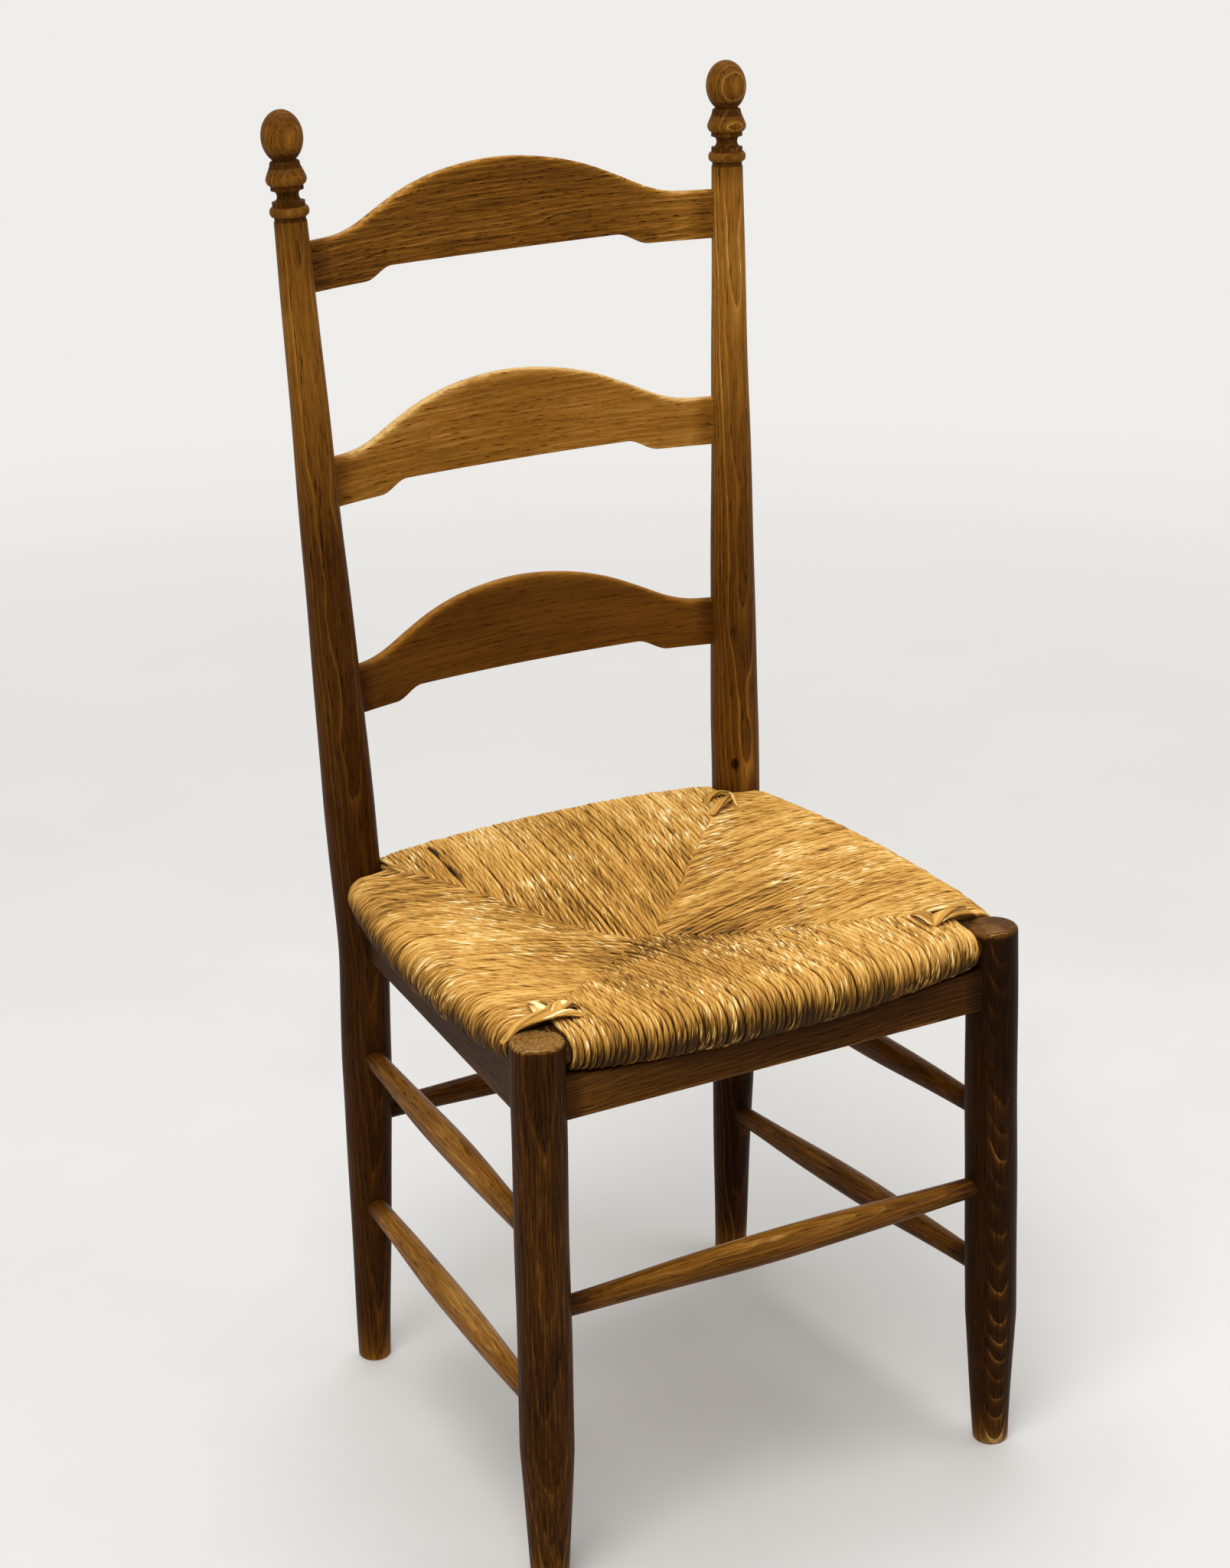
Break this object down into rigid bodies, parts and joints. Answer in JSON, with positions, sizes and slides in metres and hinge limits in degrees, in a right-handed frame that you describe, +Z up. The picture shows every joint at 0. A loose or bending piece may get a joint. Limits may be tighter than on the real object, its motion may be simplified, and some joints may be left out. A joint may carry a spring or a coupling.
{
  "type": "ladderback chair",
  "caption": "Wooden side chair with a tall leaning back of crested slats between posts with ball finials, a woven rush seat and turned rungs between the legs.",
  "frame": {"origin": "on the floor, under the middle of the whole chair's box", "axes": "+Z up, the chair faces -Y, +X to the right of someone who looks at its front"},
  "size_m": [0.4454, 0.4598, 1.0648],
  "materials": {
    "leg_wood": "worn satin",
    "post_wood": "worn satin",
    "slat_wood": "worn satin",
    "rung_wood": "worn, semi-gloss",
    "apron_wood": "satin",
    "rail_wood": "bare",
    "rush": "woven rush, matte",
    "stuffing": "loose dry rush, matte"
  },
  "bodies": {
    "root": {"left_front_leg": "leg_wood", "right_front_leg": "leg_wood", "left_rear_post": "post_wood", "right_rear_post": "post_wood", "lower_slat": "slat_wood", "middle_slat": "slat_wood", "top_slat": "slat_wood", "front_rung": "rung_wood", "back_rung": "rung_wood", "left_upper_rung": "rung_wood", "left_lower_rung": "rung_wood", "right_upper_rung": "rung_wood", "right_lower_rung": "rung_wood", "front_apron": "apron_wood", "right_apron": "apron_wood", "back_apron": "apron_wood", "left_apron": "apron_wood", "front_seat_rail": "rail_wood", "right_seat_rail": "rail_wood", "back_seat_rail": "rail_wood", "left_seat_rail": "rail_wood", "rush_seat": "rush", "seat_stuffing": "stuffing"}
  },
  "joints": []
}
